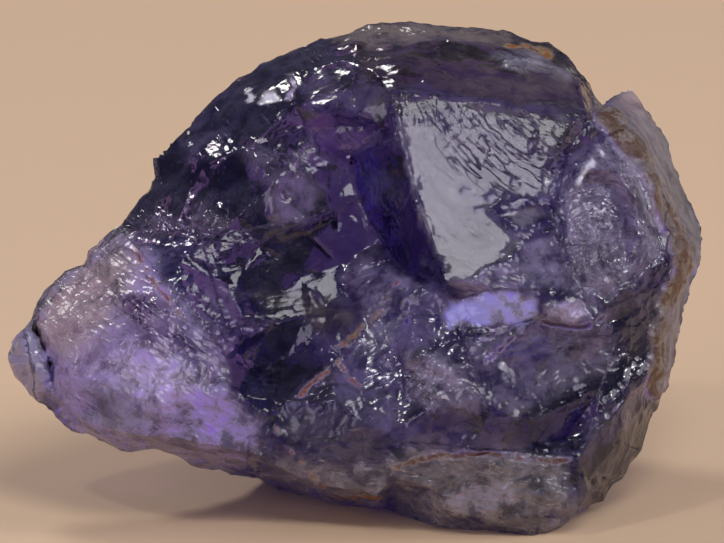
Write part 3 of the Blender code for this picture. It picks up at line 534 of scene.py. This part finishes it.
def packed_stone():
    """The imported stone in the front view: its points, triangles, and the ridges between unlike faces."""
    shape = bmesh.new()
    shape.from_mesh(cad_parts["iolite_crystal"].data)
    bmesh.ops.remove_doubles(shape, verts=shape.verts, dist=0.002 * MM)
    shape.verts.index_update()
    points = front_view([vert.co for vert in shape.verts])
    triangles = np.array([[vert.index for vert in face.verts] for face in shape.faces])
    sharp = [edge for edge in shape.edges if edge.calc_face_angle(0.0) > RIDGE_ANGLE]
    ridges = np.array([[vert.index for vert in edge.verts] for edge in sharp])
    shape.free()
    return points, triangles, ridges


def edges_of(triangles):
    """Each edge once, as sorted pairs, and the three edges of each triangle."""
    pairs = np.sort(triangles[:, ((0, 1), (1, 2), (2, 0))].reshape(-1, 2), axis=1)
    edges, numbers = np.unique(pairs, axis=0, return_inverse=True)
    return edges, numbers.reshape(-1, 3)


def halved(points, triangles, ridges):
    """Splits every edge that is longer than the detail there allows, and the triangles on it."""
    edges, sides = edges_of(triangles)
    normals = of_length_one(crossed_sides(points, triangles))
    facing = np.full(len(edges), -1.0)
    for i in range(3):
        np.maximum.at(facing, sides[:, i], normals[:, 2])
    allowed = np.where(facing > TURNED_AWAY, FINE_EDGE, COARSE_EDGE)
    lengths = np.linalg.norm(points[edges[:, 0]] - points[edges[:, 1]], axis=1)
    split = lengths > allowed
    middle = np.where(split, len(points) + np.cumsum(split) - 1, -1)
    points = np.concatenate((points, points[edges[split]].mean(axis=1)))

    whole = {tuple(edge): number for number, edge in enumerate(edges.tolist())}
    ridge_middles = [middle[whole[tuple(sorted(ridge))]] for ridge in ridges.tolist()]
    new_ridges = []
    for (start, end), mid in zip(ridges.tolist(), ridge_middles):
        new_ridges += [(start, end)] if mid < 0 else [(start, mid), (mid, end)]

    cuts = middle[sides]
    number = (cuts >= 0).sum(axis=1)
    made = [triangles[number == 0]]
    for turn in range(3):
        a, b, c = np.roll(triangles, -turn, axis=1).T
        ab, bc, ca = np.roll(cuts, -turn, axis=1).T
        one = (number == 1) & (ab >= 0)
        made.append(np.stack((a, ab, c), axis=1)[one])
        made.append(np.stack((ab, b, c), axis=1)[one])
        two = (number == 2) & (ca < 0)
        made.append(np.stack((ab, b, bc), axis=1)[two])
        made.append(np.stack((a, ab, bc), axis=1)[two])
        made.append(np.stack((a, bc, c), axis=1)[two])
    a, b, c = triangles.T
    ab, bc, ca = cuts.T
    three = number == 3
    for corners in ((a, ab, ca), (ab, b, bc), (ca, bc, c), (ab, bc, ca)):
        made.append(np.stack(corners, axis=1)[three])
    return points, np.concatenate(made), np.array(new_ridges)


def crossed_sides(points, triangles):
    """A vector along each triangle's normal, as long as twice its area."""
    corner = points[triangles]
    return np.cross(corner[:, 1] - corner[:, 0], corner[:, 2] - corner[:, 0])


def of_length_one(vectors):
    return vectors / np.maximum(np.linalg.norm(vectors, axis=1), 1e-12)[:, None]


def vertex_normals(points, triangles):
    faces = crossed_sides(points, triangles)
    normals = np.zeros_like(points)
    for i in range(3):
        np.add.at(normals, triangles[:, i], faces)
    return of_length_one(normals)


def neighbour_sum(points, edges):
    """The sum of each point's neighbours along these edges, and their number."""
    ends = np.concatenate((edges, edges[:, ::-1]))
    number = np.bincount(ends[:, 0], minlength=len(points)).astype(float)
    sums = [np.bincount(ends[:, 0], weights=points[ends[:, 1], i], minlength=len(points)) for i in range(3)]
    return np.stack(sums, axis=1), number


def relaxed(points, triangles, ridges):
    """Rounds the faces between the ridges, and takes the kinks out of the ridges' own run."""
    edges, _ = edges_of(triangles)
    on_ridge = np.zeros(len(points), bool)
    on_ridge[ridges.ravel()] = True
    for step in range(FACE_SMOOTHING):
        total, number = neighbour_sum(points, edges)
        points = np.where(on_ridge[:, None], points, total / number[:, None])
        if step < RIDGE_SMOOTHING:
            total, number = neighbour_sum(points, ridges)
            points = np.where((number == 2)[:, None], (points + total / 2.0) / 2.0, points)
    return points


def flattened(points, outline, share):
    """Takes the front of the stone inside an outline this share of the way to one flat face."""
    front = points[:, 2] > (points[:, 2].min() + points[:, 2].max()) / 2.0
    within = inside(points, outline, 0.3) * front
    plane = np.column_stack((points[:, :2], np.ones(len(points))))
    chosen = within > 0.9
    slopes = np.linalg.lstsq(plane[chosen], points[chosen, 2], rcond=None)[0]
    moved = points.copy()
    moved[:, 2] += share * within * (plane @ slopes - points[:, 2])
    return moved


def blended(old, new, share):
    """The old values taken this share of the way to the new ones."""
    return old + (np.asarray(new) - old) * (share if old.ndim == 1 else share[:, None])


def surface_finish(points, facing):
    """The stone's haze colour, and how clear, rough, hackled, chipped and threaded it is, point by point.

    The zones and seams are laid on the front only. A seam's colour reaches wider than the rest of it.
    """
    patchy = smooth_step(rough_waves(points, 3.0, 3, 301), 0.0, 0.5)
    tint = np.tile(np.array(VIOLET), (len(points), 1))
    tint = blended(tint, BROWN, 0.8 * smooth_step(rough_waves(points, 4.0, 3, 311), 0.15, 0.45))
    tint = blended(tint, LILAC, 0.8 * patchy)
    finish = {
        "clear": 0.88 - 0.35 * patchy,
        "rough": 0.12 + 0.10 * patchy,
        "hackle": 0.3 + 0.5 * smooth_step(rough_waves(points, 2.5, 2, 321), -0.1, 0.4),
        "chip": np.full(len(points), 0.7),
        "threads": np.full(len(points), 0.4),
    }

    warp = np.stack([rough_waves(points, 0.7, 3, 331 + i) for i in range(3)], axis=1)
    places = points + 0.28 * warp
    lines = points + 0.10 * warp
    broken = smooth_step(rough_waves(points, 0.35, 2, 341), -0.35, 0.1)
    marks = [(zone, inside(places, zone["outline"], zone["soft"]), 1.0) for zone in ZONES.values()]
    for seam in SEAMS.values():
        marks.append((seam, near_line(lines, seam["line"], seam["width"]) * broken, STAIN_SPREAD))
    for mark, reach, tint_power in marks:
        reach = reach * facing
        tint = blended(tint, mark["tint"], reach**tint_power)
        for name in finish:
            finish[name] = blended(finish[name], mark.get(name, mark["hackle"]), reach)
    return tint, finish


def lined(points, angle, stretch):
    """Points turned by an angle of the front view in degrees, and stretched across it."""
    turn = math.radians(angle)
    across = points[:, 1] * math.cos(turn) - points[:, 0] * math.sin(turn)
    along = points[:, 0] * math.cos(turn) + points[:, 1] * math.sin(turn)
    return np.stack((across * stretch, along, points[:, 2]), axis=1)


def ringed(points, centre, stretch):
    """Points by their distance from a centre of the front view, stretched, and their way round it."""
    away = points[:, :2] - np.array(centre)
    radius = np.linalg.norm(away, axis=1)
    around = np.arctan2(away[:, 1], away[:, 0]) * radius.mean() / ARC_STRETCH
    return np.stack((radius * stretch, around, points[:, 2]), axis=1)


def grain_places(points, facing):
    """Where each point lies for the hackle lines: across them, along them, and the depth."""
    places = lined(points, PLAIN_GRAIN_ANGLE, LINE_STRETCH / 2.0)
    for grain in GRAIN.values():
        within = (inside(points, grain["outline"], 0.05) > 0.5) & (facing > 0.5)
        if "centre" in grain:
            there = ringed(points, grain["centre"], LINE_STRETCH)
        else:
            there = lined(points, grain["angle"], LINE_STRETCH)
        places = np.where(within[:, None], there, places)
    return places


def relief_height(points, finish, ridge_nearness):
    """How far the broken surface stands out, in millimetres."""
    swell = 0.03 * rough_waves(points, 2.2, 2, 11)
    bowls = 0.36 * (scoops(points, 1.7, 21) - 0.15) + 0.15 * (scoops(points, 0.75, 31) - 0.15)
    nicks = smooth_step(rough_waves(points, 0.6, 2, 51), 0.0, 0.5) * ridge_nearness
    return swell + finish["chip"] * bowls - 0.10 * nicks


def near_ridges(points, triangles, ridges):
    """1 on the ridges, falling off over a few edges."""
    edges, _ = edges_of(triangles)
    nearness = np.zeros((len(points), 3))
    nearness[ridges.ravel()] = 1.0
    for _ in range(RIDGE_REACH):
        total, number = neighbour_sum(nearness, edges)
        nearness = np.maximum(nearness * 0.96, total / number[:, None])
    return nearness[:, 0]


def make_stone():
    """The crystal itself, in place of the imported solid."""
    points, triangles, ridges = packed_stone()
    for _ in range(REFINING_STEPS):
        points, triangles, ridges = halved(points, triangles, ridges)
    points = relaxed(points, triangles, ridges)
    for name, share in FLAT_FACES.items():
        points = flattened(points, ZONES[name]["outline"], share)
    normals = vertex_normals(points, triangles)
    facing = smooth_step(normals[:, 2], *FRONT_EDGE)
    tint, finish = surface_finish(points, facing)
    bend = BEND * np.stack([rough_waves(points, 1.1, 2, seed) for seed in (61, 63, 65)], axis=1)
    grain = grain_places(points, facing) + bend
    bent = points + bend
    relief = relief_height(points, finish, near_ridges(points, triangles, ridges))
    resting = row_frame(points)[:, 2] < FLOOR_MARGIN * MM
    placed = row_frame(points + normals * np.where(resting, 0.0, relief)[:, None])
    placed[:, 2] = np.maximum(placed[:, 2], 0.0)

    mesh = bpy.data.meshes.new("iolite")
    mesh.from_pydata(placed.tolist(), [], triangles.tolist())
    mesh.shade_smooth()
    mesh.set_sharp_from_angle(angle=CRISP_ANGLE)
    add_attribute(mesh, "tint", "FLOAT_COLOR", "color", np.column_stack((tint, np.ones(len(points)))))
    dressing = np.column_stack([finish[name] for name in ("clear", "rough", "hackle")])
    add_attribute(mesh, "finish", "FLOAT_VECTOR", "vector", dressing)
    add_attribute(mesh, "threads", "FLOAT", "value", finish["threads"])
    add_attribute(mesh, "grain", "FLOAT_VECTOR", "vector", grain)
    add_attribute(mesh, "bent", "FLOAT_VECTOR", "vector", bent)
    stone = bpy.data.objects.new("iolite", mesh)
    bpy.context.scene.collection.objects.link(stone)
    mesh.materials.append(crystal_material())
    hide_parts("iolite_crystal")
    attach(stone, "root")


def add_attribute(mesh, name, kind, field, values):
    """Gives each point of the mesh a value under this name."""
    layer = mesh.attributes.new(name, kind, "POINT")
    layer.data.foreach_set(field, np.asarray(values, np.float32).ravel())


class Nodes:
    """Adds and joins a material's nodes."""

    def __init__(self, material):
        material.use_nodes = True
        self.tree = material.node_tree
        self.shader = self.tree.nodes["Principled BSDF"]
        self.output = self.tree.nodes["Material Output"]

    def add(self, kind, settings=(), **inputs):
        """A new node with these settings, and with its inputs named with _ in place of a blank."""
        node = self.tree.nodes.new(kind)
        for name, value in dict(settings).items():
            setattr(node, name, value)
        for name, value in inputs.items():
            self.set(node.inputs[name.replace("_", " ")], value)
        return node

    def set(self, socket, value):
        """Links an output to the socket, or gives it a constant value."""
        if isinstance(value, bpy.types.NodeSocket):
            self.tree.links.new(value, socket)
        else:
            socket.default_value = value

    def attribute(self, name, output):
        """One of the values that make_stone gives to each point."""
        return self.add("ShaderNodeAttribute", {"attribute_name": name}).outputs[output]

    def maths(self, operation, *values):
        node = self.add("ShaderNodeMath", {"operation": operation})
        for socket, value in zip(node.inputs, values):
            self.set(socket, value)
        return node.outputs["Value"]

    def power(self, colour, exponent):
        """The colour with each channel raised to this power: nearer white for a power below 1."""
        node = self.add("ShaderNodeVectorMath", {"operation": "POWER"})
        self.set(node.inputs[0], colour)
        self.set(node.inputs[1], (exponent, exponent, exponent))
        return node.outputs["Vector"]

    def ranged(self, value, low, high, at_low, at_high):
        """The value from low to high, carried over to at_low to at_high."""
        node = self.add("ShaderNodeMapRange", Value=value, From_Min=low, From_Max=high, To_Min=at_low,
                        To_Max=at_high)
        return node.outputs["Result"]

    def mixed(self, share, first, second):
        """From the first colour to the second by this share."""
        node = self.add("ShaderNodeMix", {"data_type": "RGBA"})
        self.set(node.inputs[0], share)
        self.set(node.inputs[6], first)
        self.set(node.inputs[7], second)
        return node.outputs[2]


def crystal_material():
    """Clear violet-blue crystal, hazed, stained and hackled as the stone's own attributes say."""
    material = bpy.data.materials.new("clear_iolite")
    nodes = Nodes(material)
    tint = nodes.attribute("tint", "Color")
    finish = nodes.attribute("finish", "Vector")
    clear, rough, hackle = nodes.add("ShaderNodeSeparateXYZ", Vector=finish).outputs
    grain = nodes.attribute("grain", "Vector")
    bent = nodes.attribute("bent", "Vector")
    threading = nodes.attribute("threads", "Fac")

    cloud = nodes.add("ShaderNodeTexNoise", Vector=bent, Scale=1.1, Detail=3.0, Roughness=0.72)
    shade = nodes.ranged(cloud.outputs["Fac"], 0.38, 0.64, 0.3, 1.7)
    threads, grooves = filaments(nodes, grain)
    threads = nodes.maths("MULTIPLY", threads, nodes.maths("MAXIMUM", threading, 0.0))
    cuts = nodes.maths("MULTIPLY", grooves, nodes.maths("MINIMUM", threading, 0.0))
    haze = nodes.maths("MULTIPLY", nodes.maths("SUBTRACT", 1.0, clear), nodes.maths("MULTIPLY", shade, HAZE))
    haze = nodes.maths("MAXIMUM", haze, threads)
    seen_through = nodes.ranged(haze, 0.0, 1.0, 1.0, 0.0)

    colour = nodes.mixed(threads, tint, nodes.power(tint, THREAD_POWER))
    colour = nodes.mixed(seen_through, colour, nodes.power(tint, CLEAR_POWER))
    nodes.set(nodes.shader.inputs["Base Color"], colour)
    nodes.set(nodes.shader.inputs["Transmission Weight"], seen_through)
    nodes.set(nodes.shader.inputs["Roughness"], rough)
    nodes.set(nodes.shader.inputs["Normal"], broken_normal(nodes, bent, grain, hackle, cuts))
    nodes.shader.inputs["IOR"].default_value = REFRACTIVE_INDEX
    body = nodes.add("ShaderNodeVolumeAbsorption", Color=BODY_COLOUR, Density=BODY_DENSITY)
    nodes.set(nodes.output.inputs["Volume"], body.outputs["Volume"])
    return material


def filaments(nodes, grain):
    """Thin lines along the grain: pale threads, where fractures inside reach the surface, and grooves."""
    noise = nodes.add("ShaderNodeTexNoise", Vector=grain, Scale=0.7, Detail=2.0, Roughness=0.6)
    off_middle = nodes.maths("ABSOLUTE", nodes.maths("SUBTRACT", noise.outputs["Fac"], 0.5))
    thin = nodes.ranged(off_middle, 0.0, 0.013, 0.7, 0.0)
    patches = nodes.add("ShaderNodeTexNoise", Vector=grain, Scale=0.45, Detail=1.0).outputs["Fac"]
    wide = nodes.ranged(off_middle, 0.0, 0.035, 1.0, 0.0)
    threads = nodes.maths("MULTIPLY", thin, nodes.ranged(patches, 0.45, 0.6, 0.0, 1.0))
    return threads, nodes.maths("MULTIPLY", wide, nodes.ranged(patches, 0.38, 0.5, 0.0, 1.0))


def broken_normal(nodes, bent, grain, hackle, cuts):
    """Small bowls and long splinters with sharp rims, fine grains on them, and the cuts made in them."""
    bowls = nodes.add("ShaderNodeTexVoronoi", Vector=bent, Scale=2.4)
    splinters = nodes.add("ShaderNodeTexVoronoi", Vector=grain, Scale=1.1)
    grains = nodes.add("ShaderNodeTexNoise", Vector=grain, Scale=2.5, Detail=2.0, Roughness=0.7)
    bowl = nodes.maths("POWER", bowls.outputs["Distance"], 2.0)
    splinter = nodes.maths("POWER", splinters.outputs["Distance"], 2.0)
    height = nodes.maths("MULTIPLY_ADD", splinter, 0.10, nodes.maths("MULTIPLY", bowl, 0.14))
    height = nodes.maths("MULTIPLY_ADD", grains.outputs["Fac"], 0.04, height)
    height = nodes.maths("MULTIPLY_ADD", height, hackle, nodes.maths("MULTIPLY", cuts, GROOVE_DEPTH))
    bump = nodes.add("ShaderNodeBump", Strength=1.0, Distance=BUMP_DEPTH * MM, Height=height)
    return bump.outputs["Normal"]


def make_floor():
    """A plain pale surface, far wider than the view."""
    bpy.ops.mesh.primitive_plane_add(size=1.6, location=(0.0, 0.3, 0.0))
    floor = bpy.context.object
    floor.name = "floor"
    material = bpy.data.materials.new("pale_floor")
    material.use_nodes = True
    shader = material.node_tree.nodes["Principled BSDF"]
    shader.inputs["Base Color"].default_value = FLOOR_COLOUR
    shader.inputs["Roughness"].default_value = 0.6
    floor.data.materials.append(material)


def make_lights():
    """The lamps, and a faint violet light from all round."""
    for name, lamp in LAMPS.items():
        soft_box(name, **lamp)
    world = bpy.data.worlds.new("studio")
    world.use_nodes = True
    background = world.node_tree.nodes["Background"]
    background.inputs["Color"].default_value = SKY_COLOUR
    background.inputs["Strength"].default_value = SKY_STRENGTH
    bpy.context.scene.world = world


def soft_box(name, direction, distance, size, radiance, colour):
    """A round area light of that even brightness, in this direction of the front view."""
    lamp = bpy.data.lights.new(name, "AREA")
    lamp.shape = "DISK"
    lamp.size = size * MM
    lamp.energy = radiance * math.pi**2 / 4.0 * (size * MM) ** 2
    lamp.color = colour
    box = bpy.data.objects.new(name, lamp)
    bpy.context.scene.collection.objects.link(box)
    aim = Vector(row_frame([VIEW_CENTRE])[0])
    box.location = aim + front_direction(direction) * distance * MM
    box.rotation_euler = (box.location - aim).to_track_quat("Z", "Y").to_euler()


def make_camera():
    """A long lens, looking down on the stone by VIEW_TILT."""
    data = bpy.data.cameras.new("camera")
    data.sensor_width = SENSOR_WIDTH
    data.lens = SENSOR_WIDTH * CAMERA_DISTANCE / VIEW_WIDTH
    data.clip_start = 0.01
    data.clip_end = 10.0
    camera = bpy.data.objects.new("camera", data)
    bpy.context.scene.collection.objects.link(camera)
    camera.location = Vector(row_frame([VIEW_CENTRE])[0]) + front_direction((0, 0, 1)) * CAMERA_DISTANCE * MM
    camera.rotation_euler = (math.pi / 2.0 - VIEW_TILT, 0.0, 0.0)
    bpy.context.scene.camera = camera


make_camera()
make_floor()
make_lights()
make_stone()
bpy.context.scene.view_settings.view_transform = "Standard"
